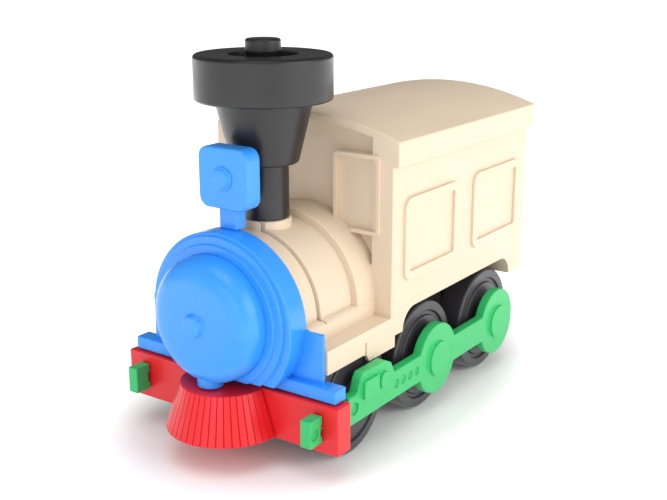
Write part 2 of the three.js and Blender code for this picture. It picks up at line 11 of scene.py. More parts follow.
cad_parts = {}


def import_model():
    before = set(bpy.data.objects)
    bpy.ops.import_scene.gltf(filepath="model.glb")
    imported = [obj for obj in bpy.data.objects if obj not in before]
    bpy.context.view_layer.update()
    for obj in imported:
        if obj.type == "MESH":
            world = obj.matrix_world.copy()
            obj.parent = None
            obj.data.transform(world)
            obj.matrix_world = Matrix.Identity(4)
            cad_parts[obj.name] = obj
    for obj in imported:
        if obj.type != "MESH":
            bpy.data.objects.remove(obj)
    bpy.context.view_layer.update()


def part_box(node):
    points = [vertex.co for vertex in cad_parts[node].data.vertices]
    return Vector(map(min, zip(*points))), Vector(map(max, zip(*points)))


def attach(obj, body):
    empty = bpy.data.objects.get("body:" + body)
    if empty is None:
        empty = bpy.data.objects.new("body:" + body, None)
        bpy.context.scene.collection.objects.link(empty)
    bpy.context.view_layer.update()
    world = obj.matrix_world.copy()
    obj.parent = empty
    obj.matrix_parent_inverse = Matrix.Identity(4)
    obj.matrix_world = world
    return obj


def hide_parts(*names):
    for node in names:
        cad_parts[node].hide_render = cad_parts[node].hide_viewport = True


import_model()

# ---- driving dimensions, mm ----
BEAM_FACE = -0.3                    # front face of the buffer beam
DATUM_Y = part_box("buffer_beam")[0].y * 1000 - BEAM_FACE
TO_ROW = Matrix.Scale(0.001, 4) @ Matrix.Translation((0, DATUM_Y, 0))
ENGINE = "engine_body"

GAP = 0.3                           # space left where one piece rests on another
FIT = 0.15                          # space round a tongue or tenon in its socket
WALL = 2.0                          # thickness of the moulded shells

WHEEL_RADIUS = 16.2
WHEEL_FACE_X = 27.9                 # outer face of each wheel
WHEEL_WIDTH = 8.0
WHEEL_ROOM = 0.65                   # free space round a turning wheel
WHEEL_FIT = 0.04                    # space round an axle in its own wheels
HUB = {"radius": 4.8, "proud": 1.4}
RECESS = {"outer": 13.3, "inner": 11.8, "depth": 0.8}       # ring shaped groove in the wheel face
AXLE_Y = {"front": 18.1, "middle": 55.1, "rear": 93.1}
AXLE_RADIUS = 2.0
AXLE_PLAY = 0.2                     # space round an axle in its bearings
AXLE_HALF = 31.9
POCKET = (14.0, 28.5)               # reach of the wheel pockets across the engine

BOILER_Z = 38.5
BOILER_FRONT = 4.6
BOILER_RINGS = [(21.2, 4.6, 13.8), (22.1, 12.0, 26.8), (24.2, 26.3, 37.4)]      # radius, from, to
BOILER_GROOVE = (11.5, 12.1)        # from, to; it runs round the front ring
SADDLE_HALF = 24.4
FOOTPLATE_TOP = 33.75
FOOTPLATE_REAR = 36.7
FOOTPLATE_GROOVE = (21.9, 22.6, 26.4, 30.6)     # from, to, bottom, top; upright, on both sides
BODY_HALF = 29.5
CAB_FRONT = 34.7
CAB_REAR = 116.2
CAB_BOTTOM = 28.0
FRONT_WALL = 4.5
GABLE_HALF = 22.9
GABLE_DEPTH = 2.5
SLOT = (40.8, 107.4, 34.3, 6.2)     # from, to, top, corner radius
SIDE_WINDOW_SPANS = [(40.4, 70.2), (79.7, 110.4)]

ROOF_HALF = 31.3
ROOF_CROWN = 88.1
ROOF_EDGE_TOP = 82.6
ROOF_EDGE_BOTTOM = 75.7
ROOF_REAR = 117.6
ROOF_THICK = 2.0
ROOF_RISE = ROOF_CROWN - ROOF_EDGE_TOP
ROOF_RADIUS = (ROOF_HALF ** 2 + ROOF_RISE ** 2) / (2 * ROOF_RISE)
ROOF_CENTRE_Z = ROOF_CROWN - ROOF_RADIUS

CHIMNEY_Y = 17.7
CHIMNEY_BASE_TOP = 62.0
CHIMNEY_BASE_RADIUS = 6.95
BEAM = (36.0, BEAM_FACE, 5.5, 8.4, 21.4)        # half width, from, to, bottom, top
DECK = (34.3, 1.0, 5.8, 21.7, 25.3)             # half width, from, to, bottom, top
PLATE = (29.0, 3.2, 4.3)                        # half width, from, to
DISC_RADIUS = 23.2
DISC_FACE = -2.5
DISC_BOTTOM = 23.5
TERRACES = [(19.2, -4.3), (21.3, -3.5)]         # radius, face
SPIGOT_RADIUS = 6.5
DOOR_Z = 39.6
DOOR_RADIUS = 16.9
DOOR_BACK = -2.8
DOOR_SHOULDER = -6.3                # where the straight side of the door turns into the dome
DOOR_BULGE = 6.0
DOOR_FLATNESS = 0.35                # power of the cosine in the dome's profile; smaller is flatter
DOOR_PEG_RADIUS = 2.9
BOSS_RADIUS = 3.2
BOSS_FACE = -13.6
PEG_Y = -6.6                        # post between the cowcatcher and the door
PEG_RADIUS = 3.5
PEG_TOP = 26.5
LAMP = (8.0, 0.3, 5.8, 67.3, 83.2, 3.0)         # half width, from, to, bottom, top, corner radius
STEM = (2.7, 1.9, 4.2)                          # half width, from, to
TONGUE_INSET = (0.5, 0.4)                       # how much slimmer the tongue is than the stem, in X and Y
COW = {"top": 21.3, "bottom": 8.7, "r_top": 12.1, "r_bottom": 16.4, "back": -0.6, "ribs": 24, "depth": 0.32}
COW_PEG = {"x": 2.6, "z": 15.0, "radius": 1.5}
BUFFER = (29.85, 1.65, -5.7, -0.6, 11.4, 18.8)  # middle, half width, from, to, bottom, top
BUFFER_PEG = {"shift": 0.25, "z": 15.1, "radius": 0.95}
FRAME_X = (30.2, 33.0)
FRAME_RING = 10.5
FRAME_BAR = 4.0
FRAME_TIP = 3.2
PAD_PROUD = 1.2                     # how far the pads on the side frame stand out
BOSS_PROUD = 1.0
CHASSIS_HALF = 17.0
CHASSIS = (12.0, 113.5, 25.1, 28.1)             # from, to, bottom, top
NOSE_HALF = 12.0                    # half width of the chassis behind the beam
NOSE_BOTTOM = 10.0
CHASSIS_SCREWS = {"front_left": (11, 13.6), "front_right": (-11, 13.6),
                  "rear_left": (11, 109.5), "rear_right": (-11, 109.5)}
BEAM_SCREW = (8.0, 15.0)            # x, z
SCREW_SINK = 2.4                    # depth of the beam's counterbores


# ---- mesh tools ----
def spot(axis, a, b, h):
    """A point h along the axis and (a, b) across it."""
    return Vector({"x": (h, a, b), "y": (a, h, b), "z": (a, b, h)}[axis])


def kept(bm):
    bmesh.ops.recalc_face_normals(bm, faces=bm.faces)
    mesh = bpy.data.meshes.new("work")
    bm.to_mesh(mesh)
    bm.free()
    obj = bpy.data.objects.new("work", mesh)
    bpy.context.scene.collection.objects.link(obj)
    return obj


def applied(obj):
    """Replaces the object's mesh by what its modifiers make of it."""
    graph = bpy.context.evaluated_depsgraph_get()
    mesh = bpy.data.meshes.new_from_object(obj.evaluated_get(graph))
    obj.modifiers.clear()
    obj.data = mesh
    return obj


def rounded(points, closed=False, steps=5):
    """An outline whose (a, b, r) corners are turned into arcs of radius r."""
    out = []
    count = len(points)
    for i, point in enumerate(points):
        radius = point[2] if len(point) > 2 else 0.0
        here = Vector(point[:2])
        if radius == 0.0 or (not closed and i in (0, count - 1)):
            out.append((here.x, here.y))
            continue
        before = Vector(points[i - 1][:2]) - here
        after = Vector(points[(i + 1) % count][:2]) - here
        half = before.angle(after) / 2
        reach = min(radius / math.tan(half), 0.49 * before.length, 0.49 * after.length)
        inward = (before.normalized() + after.normalized()).normalized()
        middle = here + inward * (reach / math.cos(half))
        start = here + before.normalized() * reach - middle
        end = here + after.normalized() * reach - middle
        first = math.atan2(start.y, start.x)
        sweep = math.remainder(math.atan2(end.y, end.x) - first, 2 * math.pi)
        for k in range(steps + 1):
            angle = first + sweep * k / steps
            out.append((middle.x + start.length * math.cos(angle),
                        middle.y + start.length * math.sin(angle)))
    return out


def turned(profile, axis, centre, segments=96, closed=False, steps=5):
    """Solid of revolution; the profile lists (radius, distance along the axis, corner radius)."""
    points = rounded(profile, closed, steps)
    bm = bmesh.new()
    rings = []
    for radius, h in points:
        count = 1 if radius < 1e-6 else segments
        angles = [2 * math.pi * i / segments for i in range(count)]
        points_round = [spot(axis, radius * math.cos(a), radius * math.sin(a), h) for a in angles]
        rings.append([bm.verts.new(point + Vector(centre)) for point in points_round])
    pairs = list(zip(rings, rings[1:]))
    if closed:
        pairs.append((rings[-1], rings[0]))
    for low, high in pairs:
        for i in range(segments):
            j = (i + 1) % segments
            corners = [low[i % len(low)], low[j % len(low)], high[j % len(high)], high[i % len(high)]]
            corners = list(dict.fromkeys(corners))
            if len(corners) > 2:
                bm.faces.new(corners)
    return kept(bm)


def rod(radius, h0, h1, axis, centre, segments=64, edge=0.0):
    return turned([(0, h0), (radius, h0, edge), (radius, h1, edge), (0, h1)], axis, centre, segments)


def eased(obj, width, segments=3, angle=35.0):
    """Rounds every edge that is sharper than the angle."""
    bevel = obj.modifiers.new("edges", "BEVEL")
    bevel.width = width
    bevel.segments = segments
    bevel.limit_method = "ANGLE"
    bevel.angle_limit = math.radians(angle)
    bevel.miter_outer = "MITER_ARC"
    return applied(obj)


def prism(points, axis, h0, h1, edge=0.0):
    """A closed outline pushed from h0 to h1, with its edges rounded."""
    bm = bmesh.new()
    ends = [[bm.verts.new(spot(axis, a, b, h)) for a, b in points] for h in (h0, h1)]
    bm.faces.new(ends[0])
    bm.faces.new(ends[1])
    for i in range(len(points)):
        j = (i + 1) % len(points)
        bm.faces.new((ends[0][i], ends[0][j], ends[1][j], ends[1][i]))
    obj = kept(bm)
    return eased(obj, edge) if edge else obj


def block(x0, x1, y0, y1, z0, z1, edge=0.0):
    return prism([(x0, y0), (x1, y0), (x1, y1), (x0, y1)], "z", z0, z1, edge)


def rectangle(a0, a1, b0, b1, radius, steps=6):
    corners = [(a0, b0, radius), (a1, b0, radius), (a1, b1, radius), (a0, b1, radius)]
    return rounded(corners, closed=True, steps=steps)


def combined(base, operation, tools):
    for tool in tools:
        modifier = base.modifiers.new("tool", "BOOLEAN")
        modifier.operation = operation
        modifier.solver = "MANIFOLD"
        modifier.object = tool
    applied(base)
    for tool in tools:
        bpy.data.objects.remove(tool)
    return base


def joined(base, *tools):
    return combined(base, "UNION", tools)


def cut(base, *tools):
    return combined(base, "DIFFERENCE", tools)


def mirrored(obj):
    """The same shape on the other side of the engine."""
    copy = bpy.data.objects.new("work", obj.data.copy())
    bpy.context.scene.collection.objects.link(copy)
    copy.data.transform(Matrix.Scale(-1, 4, (1, 0, 0)))
    copy.data.flip_normals()
    return copy


def softened(obj, voxel, passes, triangles):
    """Gives every edge, inside corners too, the small radius of a moulding."""
    remesh = obj.modifiers.new("skin", "REMESH")
    remesh.mode = "VOXEL"
    remesh.voxel_size = voxel
    smooth = obj.modifiers.new("ease", "SMOOTH")
    smooth.factor = 0.5
    smooth.iterations = passes
    applied(obj)
    thin = obj.modifiers.new("thin", "DECIMATE")
    thin.ratio = min(1.0, triangles / (2 * len(obj.data.polygons)))
    return applied(obj)


def finished(obj, name, body, nodes, look):
    """Moves a shape into the row frame and hands it to the body it belongs to."""
    obj.name = name
    obj.data.name = name
    obj.data.transform(TO_ROW)
    obj.data.materials.clear()
    obj.data.materials.append(look)
    obj.data.shade_smooth()
    obj.data.set_sharp_from_angle(angle=math.radians(50))
    weighted = obj.modifiers.new("normals", "WEIGHTED_NORMAL")
    weighted.keep_sharp = True
    weighted.weight = 80
    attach(obj, body)
    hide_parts(*nodes)
    return obj


def wheel_room(y):
    """The free space that a turning wheel needs, on both sides."""
    left = rod(WHEEL_RADIUS + WHEEL_ROOM, POCKET[0], POCKET[1], "x", (0, y, WHEEL_RADIUS), 96)
    return [left, mirrored(left)]


# ---- cream body ----
def roof_arc_z(x, drop):
    return ROOF_CENTRE_Z + math.sqrt((ROOF_RADIUS - drop) ** 2 - x ** 2)


def arch(half, drop, steps=40):
    """Points along the underside or top of the roof curve, from +half to -half."""
    xs = [half - 2 * half * i / steps for i in range(steps + 1)]
    return [(x, roof_arc_z(x, drop)) for x in xs]


def window_frame(a0, a1, b0, b1, radius, bar, axis, h0, h1, edge):
    outer = prism(rectangle(a0, a1, b0, b1, radius), axis, h0, h1, edge)
    opening = rectangle(a0 + bar, a1 - bar, b0 + bar, b1 - bar, max(radius - bar, 0.7))
    return cut(outer, prism(opening, axis, h0 - 1, h1 + 1))


def cab_block():
    outline = [(-BODY_HALF, CAB_BOTTOM), (BODY_HALF, CAB_BOTTOM)] + arch(BODY_HALF, 1.0)
    cab = prism(outline, "y", CAB_FRONT, CAB_REAR, 0.3)
    gable = block(-GABLE_HALF, GABLE_HALF, CAB_FRONT - 1, CAB_FRONT + GABLE_DEPTH, 48, 100)
    return cut(cab, gable)


def front_window():
    x0, x1, z0, z1, corner, bar = 10.5, 25.7, 56.4, 78.4, 1.5, 1.1
    lap = 0.5
    back = CAB_FRONT + GABLE_DEPTH + 0.5
    bars = window_frame(x0, x1, z0, z1, corner, bar, "y", CAB_FRONT - 0.9, back, 0.2)
    return joined(bars, block(x0 + lap, x1 - lap, CAB_FRONT + 0.9, back, z0 + 0.6, z1 - 0.6))


def side_window(y0, y1):
    z0, z1, corner, bar = 42.6, 66.2, 3.2, 2.5
    return window_frame(y0, y1, z0, z1, corner, bar, "x", BODY_HALF - 0.6, BODY_HALF + 0.8, 0.15)


def rear_window():
    x0, x1, z0, z1, corner, bar = 5.0, 22.0, 45.0, 65.8, 3.0, 2.4
    return window_frame(x0, x1, z0, z1, corner, bar, "y", CAB_REAR - 0.6, CAB_REAR + 0.75, 0.15)


def body_outside():
    parts = [turned([(0, y0), (r, y0, 0.5), (r, y1, 0.7), (0, y1)], "y", (0, 0, BOILER_Z), 160)
             for r, y0, y1 in BOILER_RINGS]
    boiler = cut(joined(*parts), block(-40, 40, -5, CAB_FRONT + 8, 0, 30))
    chamfer = 0.9
    flank = SADDLE_HALF - chamfer
    saddle = prism([(-SADDLE_HALF, 28), (SADDLE_HALF, 28), (SADDLE_HALF, BOILER_Z - chamfer),
                    (flank, BOILER_Z), (-flank, BOILER_Z), (-SADDLE_HALF, BOILER_Z - chamfer)],
                   "y", BOILER_FRONT, CAB_FRONT + 0.5)
    footplate = prism([(BOILER_FRONT, 27.4), (20.9, 27.4), (22.7, 26.7), (23.8, 24.9), (FOOTPLATE_REAR, 24.9),
                       (FOOTPLATE_REAR, FOOTPLATE_TOP), (BOILER_FRONT, FOOTPLATE_TOP)],
                      "x", -BODY_HALF, BODY_HALF)
    base = rod(CHIMNEY_BASE_RADIUS, 54, CHIMNEY_BASE_TOP, "z", (0, CHIMNEY_Y, 0), 96, 0.5)
    windows = [front_window(), *[side_window(y0, y1) for y0, y1 in SIDE_WINDOW_SPANS], rear_window()]
    windows += [mirrored(w) for w in windows]
    return joined(cab_block(), boiler, saddle, footplate, base, *windows)


def body_cavity():
    inner = BODY_HALF - WALL
    front = BOILER_FRONT + WALL
    throat = CAB_FRONT + FRONT_WALL + 1
    return joined(
        block(-inner, inner, CAB_FRONT + FRONT_WALL, CAB_REAR - WALL, 20, 83),
        rod(BOILER_RINGS[0][0] - WALL, front, throat, "y", (0, 0, BOILER_Z), 96),
        block(-SADDLE_HALF + WALL, SADDLE_HALF - WALL, front, throat, 20, BOILER_Z - WALL),
        block(-inner, inner, front, CAB_FRONT, 20, FOOTPLATE_TOP - 1.85),
    )


def body_slot():
    y0, y1, top, corner = SLOT
    low = CAB_BOTTOM - 8
    outline = rounded([(y0, low), (y1, low), (y1, top, corner), (y0, top, corner)], closed=True, steps=10)
    return prism(outline, "x", -BODY_HALF - 3, BODY_HALF + 3)


def rear_rib():
    """The wall across the engine behind the slot, with room for the chassis under it."""
    y0, y1, top, corner = SLOT
    half = BODY_HALF - WALL + 0.5
    rib = block(-half, half, y1 - corner, y1 + WALL, CAB_BOTTOM, top + WALL)
    reach = CHASSIS_HALF + GAP
    return cut(rib, block(-reach, reach, 100, CHASSIS[1] + GAP, 20, CHASSIS[3] + GAP))


def footplate_groove():
    depth = 0.5
    return block(BODY_HALF - depth, BODY_HALF + 1, *FOOTPLATE_GROOVE)


def boiler_groove():
    """A narrow groove round the front ring of the boiler, above the footplate."""
    y0, y1 = BOILER_GROOVE
    floor = BOILER_RINGS[0][0] - 0.5
    hoop = turned([(floor, y0), (24, y0), (24, y1), (floor, y1)], "y", (0, 0, BOILER_Z), 192, closed=True)
    return cut(hoop, block(-40, 40, 5, 20, 0, FOOTPLATE_TOP))


def body_shell():
    shell = joined(cut(body_outside(), body_cavity()), rear_rib())
    left_groove = footplate_groove()
    spigot_hole = rod(SPIGOT_RADIUS + GAP, BOILER_FRONT - 1, BOILER_FRONT + WALL + 1, "y", (0, 0, BOILER_Z))
    chimney_hole = rod(4.0 + GAP, 50, CHIMNEY_BASE_TOP + 1, "z", (0, CHIMNEY_Y, 0))
    shell = cut(shell, body_slot(), left_groove, mirrored(left_groove), boiler_groove(),
                *wheel_room(AXLE_Y["front"]), spigot_hole, chimney_hole)
    z0 = CHASSIS[3] + GAP
    shelves = [block(-CHASSIS_HALF, CHASSIS_HALF, BOILER_FRONT + 1, 17.5, z0, z0 + 3),
               block(-CHASSIS_HALF, CHASSIS_HALF, 106, CAB_REAR - 1, z0, z0 + 3)]
    posts = [rod(3.2, z0, 36.4, "z", (x, y, 0), 40) for x, y in CHASSIS_SCREWS.values()]
    holes = [rod(1.3, 20, 35.2, "z", (x, y, 0), 24) for x, y in CHASSIS_SCREWS.values()]
    return cut(joined(shell, *shelves, *posts), *holes)


def roof_section(inset):
    """Outline of the roof with its outer side drawn in; the inner side runs just into the cab."""
    under_half = BODY_HALF - 0.3
    half = ROOF_HALF - inset
    low = ROOF_EDGE_BOTTOM + inset
    shoulder = ROOF_EDGE_TOP - inset
    left = [(half, low, 0.4), (half, shoulder, 1.3)]
    right = [(-half, shoulder, 1.3), (-half, low, 0.4)]
    top = left + arch(half - 0.6, inset) + right
    under = [(-under_half, low)] + list(reversed(arch(under_half, ROOF_THICK))) + [(under_half, low)]
    return rounded(top + under, closed=True)


def lofted(sections, axis):
    """Solid through outlines of equal length, each given with its place along the axis."""
    bm = bmesh.new()
    rings = [[bm.verts.new(spot(axis, a, b, h)) for a, b in outline] for outline, h in sections]
    for low, high in zip(rings, rings[1:]):
        for i in range(len(low)):
            j = (i + 1) % len(low)
            bm.faces.new((low[i], low[j], high[j], high[i]))
    bm.faces.new(rings[0])
    bm.faces.new(rings[-1])
    return kept(bm)


def cab_roof():
    edge = 0.4
    turns = [math.radians(angle) for angle in (0, 22.5, 45, 67.5, 90)]
    lead = CAB_FRONT - 0.02
    front = [(roof_section(edge * (1 - math.sin(t))), lead + edge * (1 - math.cos(t))) for t in turns]
    rear = [(roof_section(edge * (1 - math.sin(t))), ROOF_REAR - edge * (1 - math.cos(t)))
            for t in reversed(turns)]
    band = lofted(front + rear, "y")
    x0 = BODY_HALF - WALL - 1.5
    lip = block(x0, x0 + 1.2, CAB_FRONT + 8, CAB_REAR - 5, 76, roof_arc_z(x0, ROOF_THICK) + 0.6)
    return joined(band, mirrored(lip), lip)


# ---- blue front ----
def peg_room():
    """The hole that the post stands in."""
    return rod(PEG_RADIUS + FIT, 20, PEG_TOP + GAP, "z", (0, PEG_Y, 0), 64)


def smokebox_front():
    plate_half, plate_front, plate_rear = PLATE
    disc = turned([(0, DISC_FACE), (DISC_RADIUS, DISC_FACE, 0.45), (DISC_RADIUS, plate_rear, 0.2),
                   (0, plate_rear)], "y", (0, 0, BOILER_Z), 192)
    (inner, inner_face), (outer, outer_face) = TERRACES
    skirt = outer + 0.3
    terraces = turned([(0, inner_face), (inner, inner_face, 0.3), (inner, outer_face, 0.2),
                       (outer, outer_face, 0.3), (outer, DISC_FACE, 0.2), (skirt, DISC_FACE), (skirt, 0),
                       (0, 0)], "y", (0, 0, DOOR_Z), 192)
    half, y0, y1, z0, z1 = DECK
    disc = cut(joined(disc, terraces), block(-40, 40, -20, 20, 0, DISC_BOTTOM))
    deck = block(-half, half, y0, y1, z0, z1, 0.35)
    plate = block(-plate_half, plate_half, plate_front, plate_rear, z1 - 1, BOILER_Z, 0.3)
    spigot = rod(SPIGOT_RADIUS, plate_rear - 1, plate_rear + 3.8, "y", (0, 0, BOILER_Z), 64, 0.4)
    door_seat = rod(DOOR_RADIUS + 0.03, -20, DOOR_BACK + GAP, "y", (0, 0, DOOR_Z), 192)
    door_hole = rod(DOOR_PEG_RADIUS + 0.2, DISC_FACE - 3, 4.0, "y", (0, 0, DOOR_Z))
    socket_half = STEM[0] - TONGUE_INSET[0] + FIT
    socket_inset = TONGUE_INSET[1] - FIT
    socket = block(-socket_half, socket_half, STEM[1] + socket_inset, STEM[2] - socket_inset, 57, 64)
    return cut(joined(disc, deck, plate, spigot), door_seat, door_hole, peg_room(), socket,
               *wheel_room(AXLE_Y["front"]))


def smokebox_door():
    profile = [(0, DOOR_BACK), (DOOR_RADIUS, DOOR_BACK, 0.1)]
    steps = 36
    crowding = 1.25                 # more points near the shoulder than near the middle
    for i in range(steps):
        a = (i / steps) ** crowding * math.pi / 2
        radius = (DOOR_RADIUS - 0.1) * math.cos(a) ** DOOR_FLATNESS
        if radius > BOSS_RADIUS + 0.6:
            profile.append((radius, DOOR_SHOULDER - DOOR_BULGE * math.sin(a)))
    profile += [(BOSS_RADIUS + 0.05, DOOR_SHOULDER - DOOR_BULGE, 0.2), (BOSS_RADIUS - 0.5, BOSS_FACE, 0.5),
                (0, BOSS_FACE)]
    door = turned(profile, "y", (0, 0, DOOR_Z), 192)
    peg = rod(DOOR_PEG_RADIUS, DOOR_BACK - 0.5, 3.4, "y", (0, 0, DOOR_Z), 48, 0.3)
    return cut(joined(door, peg), peg_room())


def support_peg():
    return rod(PEG_RADIUS, COW["top"] + GAP, PEG_TOP, "z", (0, PEG_Y, 0), 96, 0.4)


def headlamp():
    half, y0, y1, z0, z1, corner = LAMP
    case = prism(rectangle(-half, half, z0, z1, corner, 10), "y", y0, y1, 0.45)
    lens = turned([(0, y0 - 0.9), (2.4, y0 - 0.9, 0.3), (2.5, y0 - 0.5, 0.15), (3.1, y0 - 0.45, 0.25),
                   (3.3, y0 + 0.5), (0, y0 + 0.5)], "y", (0, 0, (z0 + z1) / 2), 96)
    width, front, rear = STEM
    foot = BOILER_Z + DISC_RADIUS + 0.1
    stem = block(-width, width, front, rear + 1.8, foot, z0 + 1, 0.25)
    slim_x, slim_y = TONGUE_INSET
    tongue = block(-width + slim_x, width - slim_x, front + slim_y, rear - slim_y, 57.4, z0)
    return joined(case, lens, stem, tongue)


# ---- red front ----
def buffer_beam():
    half, y0, y1, z0, z1 = BEAM
    bar = block(-half, half, y0, y1, z0, z1, 0.3)
    x, z = BEAM_SCREW
    tip = FRAME_TIP + FIT
    peg_x = BUFFER[0] + BUFFER_PEG["shift"]
    holes = [rod(1.7, y0 - 1, y1 + 1, "y", (x, 0, z), 32),
             rod(3.3, y0 - 1, y0 + SCREW_SINK, "y", (x, 0, z), 48),
             rod(COW_PEG["radius"] + FIT, y0 - 1, y0 + 3.6, "y", (COW_PEG["x"], 0, COW_PEG["z"]), 32),
             rod(BUFFER_PEG["radius"] + 0.1, y0 - 1, y0 + 2.2, "y", (peg_x, 0, BUFFER_PEG["z"]), 32),
             block(FRAME_X[0] - FIT, FRAME_X[1] + FIT, 2.7, y1 + 1, WHEEL_RADIUS - tip, WHEEL_RADIUS + tip)]
    holes += [mirrored(h) for h in holes]
    return cut(bar, *holes, *wheel_room(AXLE_Y["front"]))


def rib_depth(share):
    """Depth of the groove beside a rib, at a share of the way from one rib to the next."""
    from_groove = min(share, 1 - share)
    half_width = 0.08
    return COW["depth"] * max(0.0, 1 - from_groove / half_width) ** 0.8


def cowcatcher():
    shares = [0, 0.02, 0.04, 0.06, 0.08, 0.3, 0.5, 0.7, 0.92, 0.94, 0.96, 0.98]
    levels = [(0, 0.35), (0.1, 0.12), (0.3, 0.0)]
    height = COW["top"] - COW["bottom"]
    rows = [(h, inset) for h, inset in levels] + [(height - h, inset) for h, inset in reversed(levels)]
    bm = bmesh.new()
    rings = []
    for h, inset in rows:
        base = COW["r_bottom"] + (COW["r_top"] - COW["r_bottom"]) * h / height - inset
        ring = []
        for rib in range(COW["ribs"]):
            for share in shares:
                angle = math.pi + math.pi * (rib + share) / COW["ribs"]
                radius = base - rib_depth(share)
                ring.append((radius * math.cos(angle), radius * math.sin(angle)))
        ring.append((base - COW["depth"], 0.0))
        rings.append([bm.verts.new((x, COW["back"] + y, COW["bottom"] + h)) for x, y in ring])
    count = len(rings[0])
    for low, high in zip(rings, rings[1:]):
        for i in range(count):
            j = (i + 1) % count
            bm.faces.new((low[i], low[j], high[j], high[i]))
    bm.faces.new(rings[0])
    bm.faces.new(rings[-1])
    pegs = [rod(COW_PEG["radius"], COW["back"] - 1, COW["back"] + 3.4, "y", (x, 0, COW_PEG["z"]), 32)
            for x in (COW_PEG["x"], -COW_PEG["x"])]
    return joined(kept(bm), *pegs)


# ---- green fittings ----
def buffer():
    x, half, y0, y1, z0, z1 = BUFFER
    middle = (z0 + z1) / 2
    body = block(x - half, x + half, y0, y1, z0, z1, 0.3)
    notch = block(x - half - 1, x + half + 1, y1 - 0.8, y1 + 1, middle - 1.8, middle + 1.5)
    dimple = rod(1.6, x + half - 0.5, x + half + 0.5, "x", (0, -4.0, middle - 0.3), 48, 0.1)
    peg_centre = (x + BUFFER_PEG["shift"], 0, BUFFER_PEG["z"])
    peg = rod(BUFFER_PEG["radius"], y1 - 1.5, y1 + 2.2, "y", peg_centre, 32)
    return joined(cut(body, notch, dimple), peg)


def side_frame():
    x0, x1 = FRAME_X
    z = WHEEL_RADIUS
    rings = [rod(FRAME_RING, x0, x1, "x", (0, AXLE_Y[k], z), 128) for k in ("middle", "rear")]
    cylinder_block = prism([(12.9, z), (12.9, 20.0), (14.4, 23.8), (15.6, 25.2), (26.2, 25.2), (29.4, 23.6),
                            (31.6, z + 3)], "x", x0, x1)
    bosses = [rod(5.2, x1 - 0.4, x1 + BOSS_PROUD, "x", (0, AXLE_Y[k], z), 96) for k in ("middle", "rear")]
    square_pad = prism(rectangle(14.9, 22.0, 17.8, 23.0, 0.8), "x", x1 - 0.4, x1 + PAD_PROUD)
    round_pad = rod(2.4, x1 - 0.4, x1 + PAD_PROUD, "x", (0, 25.2, 20.1), 64)
    bar = block(x0, x1, 9, AXLE_Y["rear"], z - FRAME_BAR, z + FRAME_BAR)
    tip = block(x0, x1, 3, 12, z - FRAME_TIP, z + FRAME_TIP)
    solid = joined(bar, tip, *rings, cylinder_block, *bosses, square_pad, round_pad)
    dimples = [rod(1.25, x1 - 0.6, x1 + 1.2, "x", (0, y, z), 48) for y in (32.4, 36.0, 39.6, 43.2)]
    front_dimple = rod(1.7, x1 - 0.8, x1 + 1.4, "x", (0, 11.8, z + 0.2), 48)
    bores = [rod(AXLE_RADIUS + AXLE_PLAY, 0, AXLE_HALF + GAP, "x", (0, y, z), 48) for y in AXLE_Y.values()]
    return softened(cut(solid, *dimples, front_dimple, *bores), 0.22, 1, 120000)


# ---- running gear ----
def wheel(y):
    outer = WHEEL_FACE_X
    inner = outer - WHEEL_WIDTH
    bore = AXLE_RADIUS + WHEEL_FIT
    floor = outer - RECESS["depth"]
    hub = HUB["radius"]
    hub_face = outer + HUB["proud"]
    profile = [(bore, inner - 1.2), (5.0, inner - 1.2, 0.3), (5.0, inner, 0.5), (WHEEL_RADIUS, inner, 0.8),
               (WHEEL_RADIUS, outer, 0.8), (RECESS["outer"], outer, 0.3),
               (RECESS["outer"] - 0.2, floor, 0.35), (RECESS["inner"] + 0.1, floor, 0.35),
               (RECESS["inner"], outer, 0.4), (hub, outer, 0.4), (hub, hub_face, 0.4), (bore, hub_face)]
    return turned(profile, "x", (0, y, WHEEL_RADIUS), 160, closed=True)


def axle(y):
    return rod(AXLE_RADIUS, -AXLE_HALF, AXLE_HALF, "x", (0, y, WHEEL_RADIUS), 64, 0.4)


def chassis():
    y0, y1, z0, z1 = CHASSIS
    plate = block(-CHASSIS_HALF, CHASSIS_HALF, y0, y1, z0, z1, 0.3)
    nose = block(-NOSE_HALF, NOSE_HALF, BEAM[2] + GAP, y0 + 1, NOSE_BOTTOM, 26.8, 0.3)
    bearings = [prism([(y - 8, z0 + 1), (y - 6, 13), (y - 3.5, 10.5), (y + 3.5, 10.5), (y + 6, 13),
                       (y + 8, z0 + 1)], "x", -CHASSIS_HALF, CHASSIS_HALF, 0.4) for y in AXLE_Y.values()]
    spine = block(-3, 3, y0, y1 - 6, 17, z0 + 1, 0.3)
    bores = [rod(AXLE_RADIUS + AXLE_PLAY, -20, 20, "x", (0, y, WHEEL_RADIUS), 48) for y in AXLE_Y.values()]
    holes = []
    for x, y in CHASSIS_SCREWS.values():
        holes.append(joined(rod(1.5, 20, 40, "z", (x, y, 0), 32), rod(3.2, 8, z0 + 0.2, "z", (x, y, 0), 48)))
    x, z = BEAM_SCREW
    nose_holes = [rod(1.4, 0, 10.5, "y", (s * x, 0, z), 32) for s in (1, -1)]
    return cut(joined(plate, nose, *bearings, spine), *bores, *holes, *nose_holes)


def screw(axis, centre, head, length):
    """A pan head screw with a cross recess; it points along the Y or Z axis from its head."""
    shank = turned([(0, head - 1.8), (1.9, head - 1.8, 0.5), (2.7, head - 0.9, 0.4), (2.7, head, 0.1),
                    (1.15, head), (1.15, head + length - 0.7), (0, head + length)], axis, centre, 48)
    middle_a = centre[0]
    middle_b = centre[1] if axis == "z" else centre[2]
    slots = []
    for a, b in ((1.7, 0.32), (0.32, 1.7)):
        corners = [(-a, -b), (a, -b), (a, b), (-a, b)]
        outline = [(middle_a + p, middle_b + q) for p, q in corners]
        slots.append(prism(outline, axis, head - 3, head - 0.9))
    return cut(shank, *slots)


